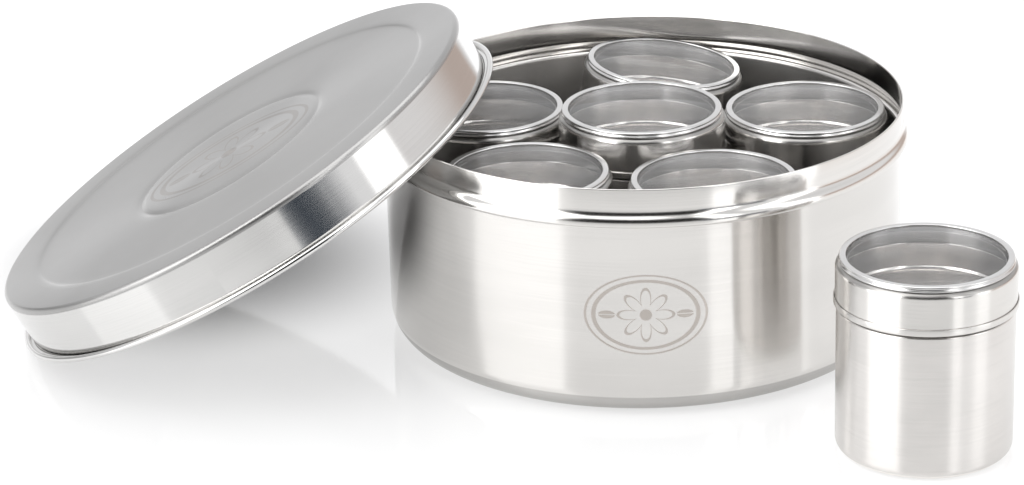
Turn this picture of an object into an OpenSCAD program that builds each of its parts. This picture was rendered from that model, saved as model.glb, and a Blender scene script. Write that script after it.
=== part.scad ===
// Round steel spice box: a tub with a slip-on lid and seven see-through canisters.
// Origin: centre of the tub's base, on the surface it stands on. +Z is up, -Y is the front.

/* [Tub] */

// Outer radius of the tub's wall
tub_r = 110; // [109.8:0.1:112]
// Height of the tub's rim above the ground
tub_h = 99; // [98.5:0.1:99.2]
// Sheet thickness of the tub
tub_t = 0.8; // [0.6:0.1:0.9]
// Radius of the corner between wall and base
tub_corner_r = 11; // [9:0.5:12]
// Height of the pressed-up middle of the base
tub_floor_z = 6; // [5:0.5:6]
// Height of the widest part of the rolled ridge
ridge_z = 84.3; // [83:0.1:85]
// How far the ridge stands out of the wall
ridge_out = 3.2; // [2:0.1:3.4]

/* [Main lid] */

// Outer radius of the lid's skirt
lid_r = 113.9; // [113.4:0.1:114]
// Height of the lid
lid_h = 24.8; // [24:0.1:26]
// Sheet thickness of the lid
lid_t = 0.8; // [0.6:0.1:0.9]
// Radius of the rolled bead at the lower edge
lid_curl_r = 1.25; // [1.2:0.05:1.5]
// Angle at which the lid leans on the tub
lean = 28.7; // [28.7:0.1:29.2]
// Direction in which the lid's low side lies
lean_dir = 178; // [170:1:190]
// Distance from the tub's axis to the middle of the lid's open side
lean_reach = 165.8; // [165.6:0.1:167]

/* [Canisters] */

// Height of a canister with its lid on
can_h = 81; // [79:0.5:81]
// Outer radius of a cup's wall
cup_r = 35; // [34.9:0.1:35.4]
// Sheet thickness of cups and their lids
can_t = 0.5; // [0.4:0.05:0.5]
// Outer radius of a cup's neck, under the lid
neck_r = 34.6; // [34.2:0.1:34.7]
// Outer radius of a canister lid's skirt
cap_r = 35.5; // [35.4:0.05:35.5]
// Outer radius of a canister lid's hem
hem_r = 36.1; // [36.1:0.05:36.15]
// Height of a canister lid
cap_h = 19.6; // [19:0.1:20]
// Radius of the see-through opening
sight_r = 31.3; // [30.9:0.1:31.4]
// Distance from the tub's axis to the outer canisters
ring_r = 72.6; // [72.5:0.05:72.65]
// How far the middle canister stands above the others
centre_rise = 7.5; // [0:0.5:8]
// Angle at which the back canister leans
back_lean = 6.5; // [0:0.5:7]
// Place of the canister that stands outside the tub
outside_at = [103.6, -142.8];

/* [Quality] */

// Facets of a full turn
$fn = 160; // [96:16:240]

/* [Hidden] */

STEEL = [0.78, 0.78, 0.79];
SATIN = [0.68, 0.68, 0.69];
CLEAR = [0.85, 0.9, 0.92, 0.35];

// Base of the tub: the band it stands on, then the step up to the floor
foot_in_r = 92;
foot_step = 4;
floor_under_z = tub_floor_z - tub_t;

// Neck of the tub, above the ridge, and how far the ridge reaches up and down
tub_neck_r = tub_r + 0.8;
ridge_up = 6.3;
ridge_down = 2.4;
bend_stiffness = 0.6;

// Main lid: corner, flange under the skirt, and the middle of the rolled bead
lid_corner_r = 1.2;
lid_inner_r = lid_r - lid_t;
lid_fillet_r = 1.4;
lid_bead_r = lid_inner_r + 3.6;

// Pressed rings of the main lid's plate: depth, outer radius and width of each
plate_step = 0.9;
outer_ring_r = 98;
outer_ring_w = 4;
inner_ring_r = 47;
inner_ring_w = 5;

// Cup, with a groove rolled in under its neck, and the gap under one that leans
cup_corner_r = 4;
foot_gap = 0.02;
under_hem = 1.2;
neck_rise = 2;
groove_in = 0.7;
cup_step_z = can_h - cap_h - under_hem;
rim_drop = 8.7;
cup_rim_z = can_h - rim_drop;

// Canister lid
cap_inner_r = cap_r - can_t;
cap_corner_r = 2;
window_t = 1.4;
window_top = can_h - 1;
window_edge = 0.7;
window_r = sight_r + window_edge;
flange_top = window_top - window_t;
flange_in_r = sight_r - window_edge;
hem_h = 2.8;
hem_curl_r = (hem_r - cap_inner_r) / 2;

// Bezel ring: two beads, one above the other
bezel_r = cap_r - 1.5;
bezel_low_r = cap_r - 1.2;
bezel_seat_r = window_r + 0.1;
bezel_bead_r = 0.55;
bezel_lip = 0.35;

// How much nearer the middle the leaning canister stands, so that its lid clears the wall
back_inset = 0.3;

// Canister places: name, angle round the tub's axis, distance from it, height, lean to the right
PLACES = [
    ["centre", 0, 0, tub_floor_z + centre_rise, 0],
    ["right", 12, ring_r, tub_floor_z, 0],
    ["left", 157, ring_r, tub_floor_z, 0],
    ["front_left", 226.5, ring_r, tub_floor_z, 0],
    ["front_right", 291.2, ring_r, tub_floor_z, 0],
    ["back", 83, ring_r - back_inset, tub_floor_z, back_lean],
    ["outside", atan2(outside_at.y, outside_at.x), norm(outside_at), 0, 0]
];

// Points of an arc round c, from angle a to angle b
function arc(c, r, a, b, steps) =
    [for (i = [0:steps]) c + r * [cos(a + (b - a) * i / steps), sin(a + (b - a) * i / steps)]];

// Points of an S-bend from a to b that starts and ends upright
function bend(a, b, steps) =
    let (up = [0, bend_stiffness * (b.y - a.y)])
    [for (i = [0:steps]) let (t = i / steps, s = 1 - t)
        s * s * s * a + 3 * s * s * t * (a + up) + 3 * s * t * t * (b - up) + t * t * t * b];

// Unit vector to the left of the path at point i
function left_of(path, i) =
    let (a = path[max(i - 1, 0)], b = path[min(i + 1, len(path) - 1)], d = (b - a) / norm(b - a))
    [-d.y, d.x];

// Closed outline of a sheet of thickness t that lies on the left of the path
function sheet(path, t) =
    concat(path, [for (i = [len(path) - 1:-1:0]) path[i] + t * left_of(path, i)]);

// Outline of the tub's outer face, from the middle of the base to the rim
tub_path = concat(
    [[0, floor_under_z], [foot_in_r - foot_step, floor_under_z], [foot_in_r, 0]],
    arc([tub_r - tub_corner_r, tub_corner_r], tub_corner_r, -90, 0, 12),
    bend([tub_r, ridge_z - ridge_down], [tub_r + ridge_out, ridge_z], 8),
    bend([tub_r + ridge_out, ridge_z], [tub_neck_r, ridge_z + ridge_up], 12),
    [[tub_neck_r, tub_h]]
);

// Outline of the main lid's underside, from the middle to the end of the curl
lid_under = lid_h - lid_t;
lid_path = concat(
    [[0, lid_under - plate_step], [inner_ring_r - inner_ring_w, lid_under - plate_step]],
    [[inner_ring_r - inner_ring_w / 2, lid_under - 2 * plate_step], [inner_ring_r, lid_under - plate_step]],
    [[outer_ring_r - outer_ring_w, lid_under - plate_step], [outer_ring_r, lid_under]],
    arc([lid_inner_r - lid_corner_r, lid_under - lid_corner_r], lid_corner_r, 90, 0, 8),
    arc([lid_inner_r + lid_fillet_r, lid_fillet_r], lid_fillet_r, 180, 270, 8),
    arc([lid_bead_r, lid_curl_r], lid_curl_r, -90, 170, 20)
);

// Outline of a cup's outer face, from the middle of the base to the rim
cup_path = concat(
    [[0, 0]],
    arc([cup_r - cup_corner_r, cup_corner_r], cup_corner_r, -90, 0, 8),
    [[cup_r, cup_step_z], [neck_r - groove_in, cup_step_z + neck_rise / 2]],
    [[neck_r, cup_step_z + neck_rise], [neck_r, cup_rim_z]]
);

// Outline of a canister lid's underside, from the flange to the end of the hem
cap_path = concat(
    [[flange_in_r, flange_top - can_t]],
    arc([cap_inner_r - cap_corner_r, flange_top - can_t - cap_corner_r], cap_corner_r, 90, 0, 6),
    arc([cap_inner_r + hem_curl_r, can_h - cap_h + hem_curl_r], hem_curl_r, 180, 360, 10),
    [[hem_r, can_h - cap_h + hem_h]]
);

// Outline of the bezel ring
bezel_outline = concat(
    [[sight_r, window_top], [sight_r, can_h - bezel_lip], [sight_r + bezel_lip, can_h]],
    arc([bezel_r - bezel_bead_r, can_h - bezel_bead_r], bezel_bead_r, 90, -50, 8),
    arc([bezel_low_r - bezel_bead_r, flange_top + bezel_bead_r], bezel_bead_r, 50, -90, 8),
    [[bezel_seat_r, flange_top], [bezel_seat_r, window_top]]
);

// Puts its children where a canister stands
module at_place(p) {
    foot_lift = sin(p[4]) * (cup_r - cup_corner_r) + (1 - cos(p[4])) * cup_corner_r + foot_gap;
    top_shift = sin(p[4]) * can_h / 2;
    rotate([0, 0, p[1]])
        translate([p[2], 0, p[3] + foot_lift])
            rotate([0, 0, -p[1]])
                translate([-top_shift, 0, 0])
                    rotate([0, p[4], 0])
                        children();
}

// Leans its children on the tub, low side towards lean_dir
module leaning() {
    low_z = lid_bead_r * sin(lean) + lid_curl_r * (1 - cos(lean));
    rotate([0, 0, lean_dir])
        translate([lean_reach, 0, low_z])
            rotate([0, lean, 0])
                children();
}

// The tub
module box_body() {
    color(STEEL) rotate_extrude() polygon(sheet(tub_path, tub_t));
}

// The tub's lid
module main_lid() {
    color(SATIN) leaning() rotate_extrude() polygon(sheet(lid_path, lid_t));
}

// A canister's cup
module cup() {
    color(STEEL) rotate_extrude() polygon(sheet(cup_path, can_t));
}

// A canister's lid shell
module cap() {
    color(STEEL) rotate_extrude() polygon(sheet(cap_path, can_t));
}

// The ring that holds a window down
module bezel() {
    color(SATIN) rotate_extrude() polygon(bezel_outline);
}

// The clear disc of a canister's lid
module window() {
    color(CLEAR) translate([0, 0, flange_top]) cylinder(h = window_t, r = window_r);
}

box_body();
main_lid();

for (p = PLACES) {
    at_place(p) cup();
    at_place(p) cap();
    at_place(p) bezel();
    at_place(p) window();
}
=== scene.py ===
import math

import bmesh
import bpy
from mathutils import Matrix, Vector


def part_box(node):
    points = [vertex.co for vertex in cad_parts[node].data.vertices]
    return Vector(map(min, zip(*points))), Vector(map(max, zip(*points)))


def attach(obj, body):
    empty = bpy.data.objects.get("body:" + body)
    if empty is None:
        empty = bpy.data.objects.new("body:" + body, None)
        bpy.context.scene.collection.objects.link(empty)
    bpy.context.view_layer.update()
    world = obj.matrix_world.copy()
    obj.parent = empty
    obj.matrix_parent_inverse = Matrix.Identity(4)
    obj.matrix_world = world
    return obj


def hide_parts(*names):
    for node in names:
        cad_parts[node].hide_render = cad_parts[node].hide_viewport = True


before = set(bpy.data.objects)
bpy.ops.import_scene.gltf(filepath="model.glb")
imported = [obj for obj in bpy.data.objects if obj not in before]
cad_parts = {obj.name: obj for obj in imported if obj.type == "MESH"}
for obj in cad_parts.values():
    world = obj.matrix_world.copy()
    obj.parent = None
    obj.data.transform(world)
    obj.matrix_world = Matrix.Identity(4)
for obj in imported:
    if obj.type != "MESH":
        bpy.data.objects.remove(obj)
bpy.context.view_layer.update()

# Sizes are in millimetres and angles in degrees, as in the CAD, unless a name or comment says metres.
MM = 0.001
CANISTERS = ["centre", "right", "left", "front_left", "front_right", "back", "outside"]

# Tub
TUB_R = 110
TUB_H = 99
TUB_T = 0.8
TUB_CORNER_R = 11
FLOOR_UNDER_Z = 5.2
FOOT_IN_R = 92
FOOT_STEP = 4
FOOT_BLEND = 2
RIDGE_Z = 84.3
RIDGE_OUT = 3.2
RIDGE_UP = 6.3
RIDGE_DOWN = 2.4
BEND_STIFFNESS = 0.6
NECK_R = 110.8

# Main lid
LID_R = 113.9
LID_H = 24.8
LID_T = 0.8
LID_CURL_R = 1.25
LID_CORNER_R = 1.2
LID_FILLET_R = 1.4
LID_BEAD_OUT = 3.6
LEAN = 28.7
LEAN_DIR = 178
LEAN_REACH = 165.8

# Pressed rings of the main lid's plate: a slope down at the outer one, a round dip at the inner one
PLATE_STEP = 0.9
OUTER_RING = (94, 98)
SLOPE_IN = 1.4
SLOPE_SHARE = 0.2
INNER_RING = (42, 47)
RING_DIP = 0.8
RING_BLEND = 1

# Canisters
CAN_H = 81
CUP_R = 35
CAN_T = 0.5
CUP_NECK_R = 34.6
CUP_CORNER_R = 4
CUP_BASE_BLEND = 0.5
CUP_STEP_Z = 60.2
NECK_RISE = 2
NECK_BLEND = 0.6
GROOVE_IN = 0.7
GROOVE_SPAN = (0.35, 0.65)
CUP_RIM_Z = 72.3
CAP_IN_R = 35
CAP_LOW_Z = 61.4
CAP_CORNER_R = 2
CAP_TOP_BLEND = 0.3
HEM_R = 36.1
HEM_H = 2.8
SIGHT_R = 31.3
FLANGE_IN = 0.6
FLANGE_TOP = 78.6
WINDOW_TOP = 80
WINDOW_R = 32
WINDOW_BEVEL = 0.2
BEZEL_R = 34
BEZEL_LOW_R = 34.3
BEZEL_SEAT_R = 32.1
BEZEL_BEAD_R = 0.55
BEZEL_LIP = 0.35
BACK_LEAN = 6.5

# Meshes: facets of a full turn and of a sheet's rounded edge, and where a face angle turns sharp
SEGMENTS = 224
EDGE_STEPS = 6
SHARP_ANGLE = 50
ON_AXIS = 1e-6

# Etched flower: its half height on the tub and on the lid, its place on the tub (radians, millimetres), and
# the radius or height over which it fades in, so that it stays off the other side of the sheet
TUB_MARK_SIZE = 17
TUB_MARK_TURN = -0.038
TUB_MARK_Z = 45
TUB_MARK_FACE = (TUB_R - 0.3, TUB_R - 0.2)
LID_MARK_SIZE = 27
LID_MARK_FACE = (LID_H - 2.2, LID_H - 1.8)

# Lines of the flower, in shares of its half height: a pair is where an edge is 0 and where it is 1
MARK_WIDE = 1.45
PETALS = 8
PETAL_ROOT = 0.26
PETAL_LENGTH = 0.4
PETAL_LINE = (0.045, 0.03)
HEART = (0.16, 0.13)
MARK_RINGS = ((0.86, 0.035), (1.0, 0.02))
RING_EDGE = (1.3, 0.8)
LEAF_AT = 0.93
LEAF_SLIM = 2.0
LEAF = (0.22, 0.19)
LEAF_VEIN = (0.004, 0.014)

# Steel: the pace of its noise (per millimetre, per radian), its depths, and how soft a change of finish is,
# and its painted shade, which is painted light inside the cups
GRAIN = (3.1, 1.6)
CLOUD = (0.05, 1.2)
CLOUD_SPAN = (0.35, 0.65)
CLOUD_DEPTH = 0.04
SMUDGE_SCALE = 38.0
SMUDGE_DEPTH = 0.35
INNER_EDGE = (0, -0.15)
TOP_EDGE = (-0.2, 0.2)
STREAK_COLOUR = 0.9
STREAK_SHARE = 0.3
ETCHED_ROUGH = 0.3
ROUND_THE_AXIS = 0.25
BUMP_DISTANCE_M = 0.0001

# Window: how milky it is where rubbed, and how much more opaque it turns at a low angle, as a painted sheen
RUB_SCALE = 60.0
RUB_SPAN = (0.3, 0.7)
RUB_MILK = (0.02, 0.06)
GLEAM_POWER = 4.0
GLEAM_MOST = 0.75
WINDOW_GREY = 0.45
WINDOW_IOR = 1.49
WINDOW_SPECULAR = 0.9

# Floor, in metres. It glows faintly, but for a soft patch behind the middle of the leaning lid, where the
# glow fades out as a painted shadow under the lid.
FLOOR_R_M = 4.0
FLOOR_SEGMENTS = 96
FLOOR_Z_M = -0.0002
FLOOR_GREY = 0.36
FLOOR_ROUGH = 0.06
FLOOR_IOR = 1.6
FLOOR_GLOW = 0.6
SHADOW_PATCH_OFF_M = (-0.03, 0.08)
SHADOW_PATCH_EDGE_M = (0.03, 0.13)

# Sky. Azimuth 0 is the camera's side and grows to the right, and height 0 is level. The sky fades from one
# colour to the other between two heights, and each patch lies over those before it:
# (left, right, soft edge, low, high, soft edge, stray, colour), with stray how far its sides wander in all
SKY_LEVEL = (0.80, 0.80, 0.81)
SKY_TOP = (0.62, 0.62, 0.63)
SKY_FADE = (10, 70)
SKY_PATCHES = [
    (-38, 27, 6, -20, 60, 20, 0, (0.45, 0.45, 0.45)),
    (-34, 24, 8, 4, 50, 8, 0, (0.02, 0.02, 0.02)),
    (77, 148, 8, -20, 13, 10, 0, (0.50, 0.42, 0.38)),
    (22, 52, 4, -20, 8, 4, 26, (0.035, 0.045, 0.06)),
    (-150, -90, 30, -30, 12, 16, 0, (0.30, 0.30, 0.30)),
    (-84, -39, 4, 4, 60, 8, 0, (2.6, 2.6, 2.6)),
    (27, 39, 3, 10, 60, 6, 0, (2.2, 2.2, 2.2)),
    (58, 76, 4, 4, 60, 8, 0, (1.8, 1.8, 1.8)),
]
STRAY_SCALE = 7.0
SKY_STRENGTH = 1.28

# Camera, in metres but for its lens, as fitted to the photograph
CAMERA_AT_M = (-0.0569, -1.3372, 0.5689)
CAMERA_PITCH = 21.8
CAMERA_ROLL = -1.754
CAMERA_SENSOR = 36
CAMERA_LENS = 117.1
CAMERA_CLIP_M = 0.01


# ---------------------------------------------------------------- outlines

def arc(cx, cz, r, a, b, steps):
    """Points of an arc round (cx, cz), from angle a to angle b."""
    angles = [math.radians(a + (b - a) * i / steps) for i in range(steps + 1)]
    return [(cx + r * math.cos(t), cz + r * math.sin(t)) for t in angles]


def bend(a, b, steps):
    """Points of an S-bend from a to b that starts and ends upright."""
    rise = BEND_STIFFNESS * (b[1] - a[1])
    handles = [a, (a[0], a[1] + rise), (b[0], b[1] - rise), b]
    points = []
    for i in range(steps + 1):
        t = i / steps
        shares = ((1 - t) ** 3, 3 * t * (1 - t) ** 2, 3 * t * t * (1 - t), t ** 3)
        points.append(tuple(sum(w * h[k] for w, h in zip(shares, handles)) for k in (0, 1)))
    return points


def smooth(path):
    """Cuts the corners of an open path twice, as Chaikin does, and keeps its ends."""
    for _ in range(2):
        cut = [path[0]]
        for (ax, az), (bx, bz) in zip(path, path[1:]):
            cut.append((ax * 0.75 + bx * 0.25, az * 0.75 + bz * 0.25))
            cut.append((ax * 0.25 + bx * 0.75, az * 0.25 + bz * 0.75))
        path = cut + [path[-1]]
    return path


def left_of(path, i):
    """Unit vector to the left of the path at point i."""
    (ax, az), (bx, bz) = path[max(i - 1, 0)], path[min(i + 1, len(path) - 1)]
    length = math.hypot(bx - ax, bz - az)
    return (az - bz) / length, (bx - ax) / length


def sheet(path, t, round_start=False):
    """Closed outline of a sheet of thickness t on the left of the path, with its last edge rounded.

    round_start rounds the first edge as well, where the path doesn't start on the axis.
    """
    sides = [left_of(path, i) for i in range(len(path))]
    other = [(x + t * nx, z + t * nz) for (x, z), (nx, nz) in zip(path, sides)]

    def round_edge(i, way):
        """Half a circle over the sheet's edge at point i: way is 1 from the path to the other side, or -1."""
        (x, z), (nx, nz) = path[i], sides[i]
        start = math.degrees(math.atan2(-way * nz, -way * nx))
        return arc(x + t / 2 * nx, z + t / 2 * nz, t / 2, start, start + 180, EDGE_STEPS)

    if round_start:
        return path[1:-1] + round_edge(-1, 1) + other[-2:0:-1] + round_edge(0, -1)
    return path[:-1] + round_edge(-1, 1) + other[-2::-1]


# ---------------------------------------------------------------- meshes

def lathe(name, outline, material):
    """A closed outline (radius, height) in millimetres, turned round the Z axis."""
    bm = bmesh.new()
    turns = [2 * math.pi * k / SEGMENTS for k in range(SEGMENTS)]
    rings = []
    for r, z in outline:
        points = [(r * MM * math.cos(t), r * MM * math.sin(t), z * MM) for t in turns]
        if r < ON_AXIS:
            points = [(0, 0, z * MM)]
        rings.append([bm.verts.new(point) for point in points])
    for low, high in zip(rings, rings[1:] + rings[:1]):
        if len(low) == 1 and len(high) == 1:
            continue
        for k in range(SEGMENTS):
            after = (k + 1) % SEGMENTS
            if len(low) == 1:
                bm.faces.new((low[0], high[after], high[k]))
            elif len(high) == 1:
                bm.faces.new((low[k], low[after], high[0]))
            else:
                bm.faces.new((low[k], low[after], high[after], high[k]))
    bmesh.ops.recalc_face_normals(bm, faces=bm.faces)
    mesh = bpy.data.meshes.new(name)
    bm.to_mesh(mesh)
    bm.free()
    for polygon in mesh.polygons:
        polygon.use_smooth = True
    mesh.set_sharp_from_angle(angle=math.radians(SHARP_ANGLE))
    mesh.materials.append(material)
    piece = bpy.data.objects.new(name, mesh)
    bpy.context.scene.collection.objects.link(piece)
    return piece


def place(piece, matrix, body, slot, *nodes):
    """Puts a piece at its place on a body, for the CAD nodes it stands for."""
    piece.matrix_world = matrix
    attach(piece, body)
    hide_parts(*nodes)


# ---------------------------------------------------------------- node trees

class Nodes:
    """Short names for building the node tree of a material or a world."""

    def __init__(self, owner):
        owner.use_nodes = True
        self.tree = owner.node_tree
        self.tree.nodes.clear()

    def add(self, kind, **values):
        """A new node, with each value set on its socket of that name, or else on its property."""
        node = self.tree.nodes.new(kind)
        for key, value in values.items():
            if key in node.inputs:
                node.inputs[key].default_value = value
            else:
                setattr(node, key, value)
        return node

    def link(self, source, target):
        self.tree.links.new(source, target)

    def feed(self, sockets, values):
        """Gives each socket its number, or a link to where its value comes from."""
        for socket, value in zip(sockets, values):
            if isinstance(value, (int, float)):
                socket.default_value = value
            else:
                self.link(value, socket)

    def result(self, shader, kind="ShaderNodeOutputMaterial"):
        """Makes the shader what the tree gives."""
        self.link(shader.outputs[0], self.add(kind).inputs[0])

    def math(self, operation, a, b=0.0, clamp=False):
        node = self.add("ShaderNodeMath", operation=operation, use_clamp=clamp)
        self.feed(node.inputs, (a, b))
        return node.outputs[0]

    def ramp(self, value, low, high, to_low=0.0, to_high=1.0):
        """A soft step from to_low to to_high as the value goes from low to high."""
        node = self.add("ShaderNodeMapRange", interpolation_type="SMOOTHSTEP")
        self.feed(node.inputs, (value, low, high, to_low, to_high))
        return node.outputs[0]

    def mix(self, factor, a, b):
        """The colour between a and b."""
        node = self.add("ShaderNodeMix", data_type="RGBA")
        self.link(factor, node.inputs["Factor"])
        for socket, value in ((node.inputs[6], a), (node.inputs[7], b)):
            if isinstance(value, tuple):
                socket.default_value = (*value, 1)
            else:
                self.link(value, socket)
        return node.outputs[2]

    def noise(self, at, scale, detail, rough=0.5):
        node = self.add("ShaderNodeTexNoise", Scale=scale, Detail=detail, Roughness=rough)
        self.link(at, node.inputs["Vector"])
        return node.outputs["Fac"]

    def wander(self, noise, reach):
        """A noise value moved to lie round 0, with that reach from end to end."""
        return self.math("MULTIPLY", self.math("SUBTRACT", noise, 0.5), reach)

    def length(self, x, y):
        square = self.math("ADD", self.math("MULTIPLY", x, x), self.math("MULTIPLY", y, y))
        return self.math("SQRT", square)

    def split(self, vector):
        node = self.add("ShaderNodeSeparateXYZ")
        self.link(vector, node.inputs[0])
        return node.outputs

    def own_place(self):
        """Where a point is on its own piece, in metres."""
        return self.add("ShaderNodeTexCoord").outputs["Object"]


def polar(n):
    """Radius, angle and height of a point round the piece's own axis, in millimetres and radians."""
    x, y, z = n.split(n.own_place())
    angle = n.math("ARCTAN2", x, n.math("MULTIPLY", y, -1))
    return n.math("MULTIPLY", n.length(x, y), 1 / MM), angle, n.math("MULTIPLY", z, 1 / MM)


def turned_noise(n, spot, pace, detail, rough=0.5):
    """Noise over a spot (radius, angle, height), with pace (per millimetre, per radian)."""
    radius, angle, height = spot
    at = n.add("ShaderNodeCombineXYZ")
    n.feed(at.inputs, (n.math("MULTIPLY", radius, pace[0]), n.math("MULTIPLY", angle, pace[1]),
                       n.math("MULTIPLY", height, pace[0])))
    return n.noise(at.outputs[0], 1.0, detail, rough)


# ---------------------------------------------------------------- materials

def flower(n, across, up, size):
    """1 on the lines of a plain eight-petalled flower between two leaves in an oval ring, 0 elsewhere."""
    def band(value, widths, scale=size):
        return n.ramp(value, *(width * scale for width in widths))

    reach = n.length(across, up)
    lobe = n.math("MULTIPLY", n.math("ARCTAN2", across, up), PETALS / 2)
    lobe = n.math("MULTIPLY", n.math("ABSOLUTE", n.math("COSINE", lobe)), PETAL_LENGTH)
    edge = n.math("MULTIPLY", n.math("ADD", lobe, PETAL_ROOT), size)
    total = n.math("MAXIMUM", band(n.math("ABSOLUTE", n.math("SUBTRACT", reach, edge)), PETAL_LINE),
                   band(reach, HEART))
    oval = n.length(n.math("DIVIDE", across, MARK_WIDE), up)
    for share, width in MARK_RINGS:
        gap = n.math("ABSOLUTE", n.math("SUBTRACT", oval, share * size))
        total = n.math("MAXIMUM", total, band(gap, RING_EDGE, width * size))
    side = n.math("SUBTRACT", n.math("ABSOLUTE", across), LEAF_AT * size)
    leaf = band(n.length(side, n.math("MULTIPLY", up, LEAF_SLIM)), LEAF)
    leaf = n.math("MULTIPLY", leaf, band(n.math("ABSOLUTE", up), LEAF_VEIN))
    return n.math("MAXIMUM", total, leaf)


def on_wall(n, radius, angle, height):
    """Millimetres across and up from the tub's flower, and 1 on the wall's outer face."""
    across = n.math("MULTIPLY", n.math("SUBTRACT", angle, TUB_MARK_TURN), TUB_R)
    return across, n.math("SUBTRACT", height, TUB_MARK_Z), n.ramp(radius, *TUB_MARK_FACE)


def on_plate(n, radius, angle, height):
    """Millimetres across and up from the middle of the main lid, and 1 on its upper face."""
    across = n.math("MULTIPLY", radius, n.math("SINE", angle))
    up = n.math("MULTIPLY", radius, n.math("COSINE", angle))
    return across, up, n.ramp(height, *LID_MARK_FACE)


def steel(name, colour, rough, aniso, lines=0.05, inner=None, top=None, mark=None):
    """Polished steel sheet with fine turned lines round its axis.

    inner is (radius of the change, colour factor, roughness) for the face towards the axis, and top is
    (height of the change, colour factor, roughness) for the face above it. Each colour factor is painted
    shade where it is under 1 and painted light where it is over 1. mark is (where, size, colour, strength)
    of an etched flower.
    """
    material = bpy.data.materials.new(name)
    n = Nodes(material)
    radius, angle, height = spot = polar(n)
    grain = turned_noise(n, spot, GRAIN, detail=4.0, rough=0.65)
    cloud = turned_noise(n, spot, CLOUD, detail=2.0)
    smudge = n.noise(n.own_place(), SMUDGE_SCALE, detail=3.0)
    dark = tuple(c * (1 - CLOUD_DEPTH) for c in colour)
    light = tuple(c * (1 + CLOUD_DEPTH) for c in colour)
    base = n.mix(n.ramp(n.math("MULTIPLY", n.math("ADD", grain, cloud), 0.5), *CLOUD_SPAN), dark, light)
    finish = rough
    # Each change sets its own roughness and scales the colour: painted shade, or painted light where the
    # factor is over 1
    for coordinate, change, edge in ((radius, inner, INNER_EDGE), (height, top, TOP_EDGE)):
        if change:
            limit, factor, other_rough = change
            share = n.ramp(coordinate, limit + edge[0], limit + edge[1])
            plain = tuple(c * factor for c in colour)
            painted_streak = tuple(c * factor * STREAK_COLOUR for c in colour)
            base = n.mix(share, base, n.mix(n.math("MULTIPLY", grain, STREAK_SHARE), plain, painted_streak))
            finish = n.math("ADD", finish, n.math("MULTIPLY", share, other_rough - rough))
    finish = n.math("MULTIPLY", finish, n.math("ADD", n.wander(smudge, SMUDGE_DEPTH), 1))
    if mark:
        where, size, tint, strength = mark
        across, up, face = where(n, *spot)
        etched = n.math("MULTIPLY", n.math("MULTIPLY", flower(n, across, up, size), face), strength)
        base = n.mix(etched, base, tint)
        finish = n.math("ADD", finish, n.math("MULTIPLY", etched, ETCHED_ROUGH))
    bsdf = n.add("ShaderNodeBsdfPrincipled", Metallic=1.0, Anisotropic=aniso)
    bsdf.inputs["Anisotropic Rotation"].default_value = ROUND_THE_AXIS
    n.link(base, bsdf.inputs["Base Color"])
    n.link(finish, bsdf.inputs["Roughness"])
    bump = n.add("ShaderNodeBump", Strength=lines, Distance=BUMP_DISTANCE_M)
    n.link(grain, bump.inputs["Height"])
    n.link(bump.outputs[0], bsdf.inputs["Normal"])
    tangent = n.add("ShaderNodeTangent", direction_type="RADIAL", axis="Z")
    n.link(tangent.outputs[0], bsdf.inputs["Tangent"])
    n.result(bsdf)
    return material


def clear_plastic(name):
    """A clear disc: see-through face on, a little milky where it is rubbed, and more opaque at a low angle as
    a painted sheen.
    """
    material = bpy.data.materials.new(name)
    n = Nodes(material)
    rubbed = n.ramp(n.noise(n.own_place(), RUB_SCALE, detail=3.0), *RUB_SPAN, *RUB_MILK)
    # Painted sheen: the disc turns more opaque, showing its grey face, as the view grows more slanting
    facing = n.add("ShaderNodeLayerWeight", Blend=0.5).outputs["Facing"]
    gleam = n.math("MULTIPLY", n.math("POWER", facing, GLEAM_POWER), GLEAM_MOST)
    bsdf = n.add("ShaderNodeBsdfPrincipled", IOR=WINDOW_IOR)
    bsdf.inputs["Base Color"].default_value = (WINDOW_GREY, WINDOW_GREY, WINDOW_GREY, 1)
    bsdf.inputs["Specular IOR Level"].default_value = WINDOW_SPECULAR
    n.link(rubbed, bsdf.inputs["Roughness"])
    n.link(n.math("ADD", gleam, rubbed, clamp=True), bsdf.inputs["Alpha"])
    n.result(bsdf)
    return material


# Painted shade: the tub's inner face is darkened to 0.72 of the steel's colour
tub_steel = steel("tub_steel", (0.69, 0.675, 0.655), 0.13, 0.95, inner=(TUB_R - 0.25, 0.72, 0.24),
                  mark=(on_wall, TUB_MARK_SIZE, (0.50, 0.44, 0.39), 0.6))
# Painted shade: the main lid's plate is darkened to 0.6 of the steel's colour, with its own satin roughness
lid_steel = steel("cover_steel", (0.65, 0.645, 0.635), 0.09, 0.8, top=(LID_H - 2.6, 0.6, 0.3),
                  mark=(on_plate, LID_MARK_SIZE, (0.34, 0.30, 0.27), 0.35))
# Painted light: the cup's inner face is brightened to 1.35 of the steel's colour
cup_steel = steel("cup_steel", (0.69, 0.67, 0.65), 0.24, 0.9, lines=0.12,
                  inner=(CUP_NECK_R - 0.05, 1.35, 0.2))
# Painted shade: the cap's inner face is darkened to 0.6 of the steel's colour
cap_steel = steel("cap_steel", (0.67, 0.655, 0.635), 0.2, 0.85, inner=(CAP_IN_R + 0.3, 0.6, 0.3))
bezel_steel = steel("bezel_steel", (0.66, 0.655, 0.65), 0.2, 0.4)
clear = clear_plastic("window_clear")


# ---------------------------------------------------------------- tub

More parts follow.
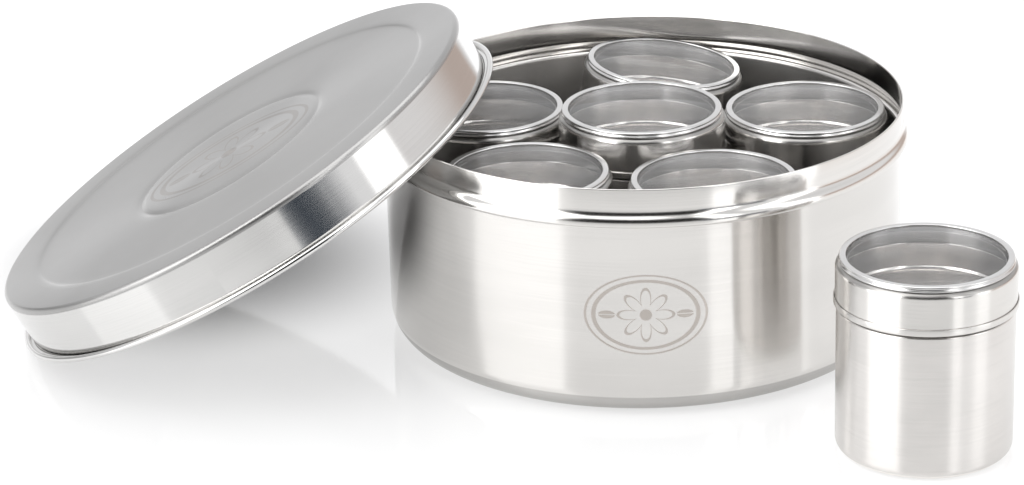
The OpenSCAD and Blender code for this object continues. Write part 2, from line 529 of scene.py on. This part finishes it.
def tub_outline():
    foot = smooth([(0, FLOOR_UNDER_Z), (FOOT_IN_R - FOOT_STEP - FOOT_BLEND, FLOOR_UNDER_Z),
                   (FOOT_IN_R - FOOT_STEP, FLOOR_UNDER_Z), (FOOT_IN_R, 0), (FOOT_IN_R + FOOT_BLEND, 0)])
    corner = arc(TUB_R - TUB_CORNER_R, TUB_CORNER_R, TUB_CORNER_R, -90, 0, steps=20)
    nose = (TUB_R + RIDGE_OUT, RIDGE_Z)
    ridge = bend((TUB_R, RIDGE_Z - RIDGE_DOWN), nose, steps=16)
    ridge += bend(nose, (NECK_R, RIDGE_Z + RIDGE_UP), steps=28)[1:]
    return sheet(foot + corner + ridge + [(NECK_R, TUB_H - TUB_T / 2)], TUB_T)


place(lathe("tub", tub_outline(), tub_steel), Matrix.Identity(4), "tub", "tub_steel", "box_body")


# ---------------------------------------------------------------- main lid

def lid_outline():
    under = LID_H - LID_T
    low = under - PLATE_STEP
    inner_r = LID_R - LID_T
    dip_in, dip_out = INNER_RING
    slope_in, slope_out = OUTER_RING
    plate = smooth([
        (0, low), (dip_in - RING_BLEND, low), (dip_in + RING_BLEND, low - RING_DIP / 2),
        ((dip_in + dip_out) / 2, low - RING_DIP),
        (dip_out - RING_BLEND, low - RING_DIP / 2), (dip_out + RING_BLEND, low),
        (slope_in - RING_BLEND, low), (slope_in + SLOPE_IN, under - PLATE_STEP * (1 - SLOPE_SHARE)),
        (slope_out - SLOPE_IN, under - PLATE_STEP * SLOPE_SHARE), (slope_out + RING_BLEND, under),
    ])
    edge = arc(inner_r - LID_CORNER_R, under - LID_CORNER_R, LID_CORNER_R, 90, 0, steps=14)
    flange = arc(inner_r + LID_FILLET_R, LID_FILLET_R, LID_FILLET_R, 180, 270, steps=12)
    bead = arc(inner_r + LID_BEAD_OUT, LID_CURL_R, LID_CURL_R, -90, 170, steps=36)
    return sheet(plate + edge + flange + bead, LID_T)


def lid_place():
    """Where the main lid leans: on its bead's low side, towards LEAN_DIR."""
    lean = math.radians(LEAN)
    low_z = (LID_R - LID_T + LID_BEAD_OUT) * math.sin(lean) + LID_CURL_R * (1 - math.cos(lean))
    turn = Matrix.Rotation(math.radians(LEAN_DIR), 4, "Z")
    move = Matrix.Translation((LEAN_REACH * MM, 0, low_z * MM))
    return turn @ move @ Matrix.Rotation(lean, 4, "Y")


place(lathe("cover", lid_outline(), lid_steel), lid_place(), "cover", "cover_steel", "main_lid")


# ---------------------------------------------------------------- canisters

def cup_outline():
    base = [(0, 0), (CUP_R - CUP_CORNER_R - CUP_BASE_BLEND, 0)]
    corner = arc(CUP_R - CUP_CORNER_R, CUP_CORNER_R, CUP_CORNER_R, -90, 0, steps=14)
    groove = [(CUP_NECK_R - GROOVE_IN, CUP_STEP_Z + NECK_RISE * share) for share in GROOVE_SPAN]
    neck_z = CUP_STEP_Z + NECK_RISE
    step = smooth([(CUP_R, CUP_STEP_Z - NECK_BLEND), (CUP_R, CUP_STEP_Z), *groove,
                   (CUP_NECK_R, neck_z), (CUP_NECK_R, neck_z + NECK_BLEND)])
    return sheet(base + corner + step + [(CUP_NECK_R, CUP_RIM_Z - CAN_T / 2)], CAN_T)


def cap_outline():
    under = FLANGE_TOP - CAN_T
    corner_r = CAP_IN_R - CAP_CORNER_R
    curl_r = (HEM_R - CAP_IN_R) / 2
    flange = [(SIGHT_R - FLANGE_IN, under), (corner_r - CAP_TOP_BLEND, under)]
    shoulder = arc(corner_r, under - CAP_CORNER_R, CAP_CORNER_R, 90, 0, steps=10)
    hem = arc(CAP_IN_R + curl_r, CAP_LOW_Z + curl_r, curl_r, 180, 360, steps=16)
    hem_end = (HEM_R, CAP_LOW_Z + HEM_H - CAN_T / 2)
    return sheet(flange + shoulder + hem + [hem_end], CAN_T, round_start=True)


def bezel_outline():
    lip = arc(SIGHT_R + BEZEL_LIP, CAN_H - BEZEL_LIP, BEZEL_LIP, 180, 90, steps=5)
    upper = arc(BEZEL_R - BEZEL_BEAD_R, CAN_H - BEZEL_BEAD_R, BEZEL_BEAD_R, 90, -50, steps=12)
    lower = arc(BEZEL_LOW_R - BEZEL_BEAD_R, FLANGE_TOP + BEZEL_BEAD_R, BEZEL_BEAD_R, 50, -90, steps=12)
    seat = [(BEZEL_SEAT_R, FLANGE_TOP), (BEZEL_SEAT_R, WINDOW_TOP)]
    return [(SIGHT_R, WINDOW_TOP)] + lip + upper + lower + seat


def window_outline():
    flat_r = WINDOW_R - WINDOW_BEVEL
    return [(0, FLANGE_TOP), (flat_r, FLANGE_TOP), (WINDOW_R, FLANGE_TOP + WINDOW_BEVEL),
            (WINDOW_R, WINDOW_TOP - WINDOW_BEVEL), (flat_r, WINDOW_TOP), (0, WINDOW_TOP)]


def can_place(name):
    """Where a canister stands, from the middle of its window in the frame."""
    low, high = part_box(name + "_window")
    lean = math.radians(BACK_LEAN) if name == "back" else 0.0
    turn = Matrix.Rotation(lean, 4, "Y")
    middle = Vector((0, 0, (FLANGE_TOP + WINDOW_TOP) / 2 * MM))
    foot = (low + high) / 2 - turn @ middle
    return Matrix.Translation(foot) @ turn


for can in CANISTERS:
    at = can_place(can)
    body = can + "_can"
    cap = can + "_cap"
    place(lathe(can + ".cup", cup_outline(), cup_steel), at, body, "cup_steel", can + "_cup")
    place(lathe(can + ".lid", cap_outline(), cap_steel), at, cap, "cap_steel", can + "_lid")
    place(lathe(can + ".bezel", bezel_outline(), bezel_steel), at, cap, "bezel_steel", can + "_bezel")
    place(lathe(can + ".window", window_outline(), clear), at, cap, "window_clear", can + "_window")


# ---------------------------------------------------------------- floor, light and camera

def make_floor():
    bm = bmesh.new()
    bmesh.ops.create_circle(bm, cap_ends=True, segments=FLOOR_SEGMENTS, radius=FLOOR_R_M)
    mesh = bpy.data.meshes.new("floor")
    bm.to_mesh(mesh)
    bm.free()
    material = bpy.data.materials.new("pale_floor")
    n = Nodes(material)
    bsdf = n.add("ShaderNodeBsdfPrincipled", Roughness=FLOOR_ROUGH, IOR=FLOOR_IOR)
    bsdf.inputs["Base Color"].default_value = (FLOOR_GREY, FLOOR_GREY, FLOOR_GREY, 1)
    bsdf.inputs["Emission Color"].default_value = (1, 1, 1, 1)
    # Painted shadow: the floor's glow fades out round a point behind the middle of the leaning lid, for the
    # shade under it
    low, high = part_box("main_lid")
    middle = ((low.x + high.x) / 2 + SHADOW_PATCH_OFF_M[0], (low.y + high.y) / 2 + SHADOW_PATCH_OFF_M[1], 0)
    from_shadow_patch = n.add("ShaderNodeVectorMath", operation="DISTANCE")
    n.link(n.add("ShaderNodeNewGeometry").outputs["Position"], from_shadow_patch.inputs[0])
    from_shadow_patch.inputs[1].default_value = middle
    n.link(n.ramp(from_shadow_patch.outputs["Value"], *SHADOW_PATCH_EDGE_M, 0.0, FLOOR_GLOW), bsdf.inputs["Emission Strength"])
    n.result(bsdf)
    mesh.materials.append(material)
    floor = bpy.data.objects.new("floor", mesh)
    floor.location.z = FLOOR_Z_M
    bpy.context.scene.collection.objects.link(floor)


def make_world():
    """A pale sky with soft boxes and dark zones, placed for reflections like those in the photograph."""
    world = bpy.data.worlds.new("studio")
    bpy.context.scene.world = world
    n = Nodes(world)
    direction = n.add("ShaderNodeTexCoord").outputs["Generated"]
    x, y, z = n.split(direction)
    azimuth = n.math("MULTIPLY", n.math("ARCTAN2", x, n.math("MULTIPLY", y, -1)), 180 / math.pi)
    height = n.math("MULTIPLY", n.math("ARCSINE", z), 180 / math.pi)

    def patch(left, right, soft, low, high, soft_up, stray):
        """1 between azimuths left and right and heights low and high, 0 elsewhere, with soft edges."""
        moved = n.wander(n.noise(direction, STRAY_SCALE, detail=4.0), stray) if stray else 0.0
        off = n.math("ABSOLUTE", n.math("ADD", n.math("SUBTRACT", azimuth, (left + right) / 2), moved))
        half = (right - left) / 2
        wide = n.ramp(off, half + soft / 2, half - soft / 2)
        above = n.ramp(height, low - soft_up / 2, low + soft_up / 2)
        under = n.ramp(height, high + soft_up / 2, high - soft_up / 2)
        return n.math("MULTIPLY", n.math("MULTIPLY", wide, above), under)

    shade = n.mix(n.ramp(height, *SKY_FADE), SKY_LEVEL, SKY_TOP)
    for *extent, colour in SKY_PATCHES:
        shade = n.mix(patch(*extent), shade, colour)
    background = n.add("ShaderNodeBackground", Strength=SKY_STRENGTH)
    n.link(shade, background.inputs["Color"])
    n.result(background, "ShaderNodeOutputWorld")


def area_light(name, location, aim, size, power):
    """A rectangular light, with its places and size in metres and its power in watts."""
    data = bpy.data.lights.new(name, "AREA")
    data.shape = "RECTANGLE"
    data.size, data.size_y = size
    data.energy = power
    lamp = bpy.data.objects.new(name, data)
    lamp.location = location
    lamp.rotation_euler = (Vector(aim) - Vector(location)).to_track_quat("-Z", "Y").to_euler()
    bpy.context.scene.collection.objects.link(lamp)


def make_camera():
    pitch = math.radians(CAMERA_PITCH)
    roll = math.radians(CAMERA_ROLL)
    forward = Vector((0, math.cos(pitch), -math.sin(pitch)))
    right = Vector((1, 0, 0))
    up = right.cross(forward)
    side = math.cos(roll) * right + math.sin(roll) * up
    top = -math.sin(roll) * right + math.cos(roll) * up
    data = bpy.data.cameras.new("camera")
    data.sensor_width = CAMERA_SENSOR
    data.lens = CAMERA_LENS
    data.clip_start = CAMERA_CLIP_M
    camera = bpy.data.objects.new("camera", data)
    turn = Matrix((side, top, -forward)).transposed().to_4x4()
    camera.matrix_world = Matrix.Translation(CAMERA_AT_M) @ turn
    bpy.context.scene.collection.objects.link(camera)
    bpy.context.scene.camera = camera


make_floor()
make_world()
area_light("overhead", location=(-0.2, 0.1, 1.6), aim=(0, 0, 0), size=(2.2, 1.6), power=15.4)
make_camera()
bpy.context.scene.view_settings.view_transform = "Standard"
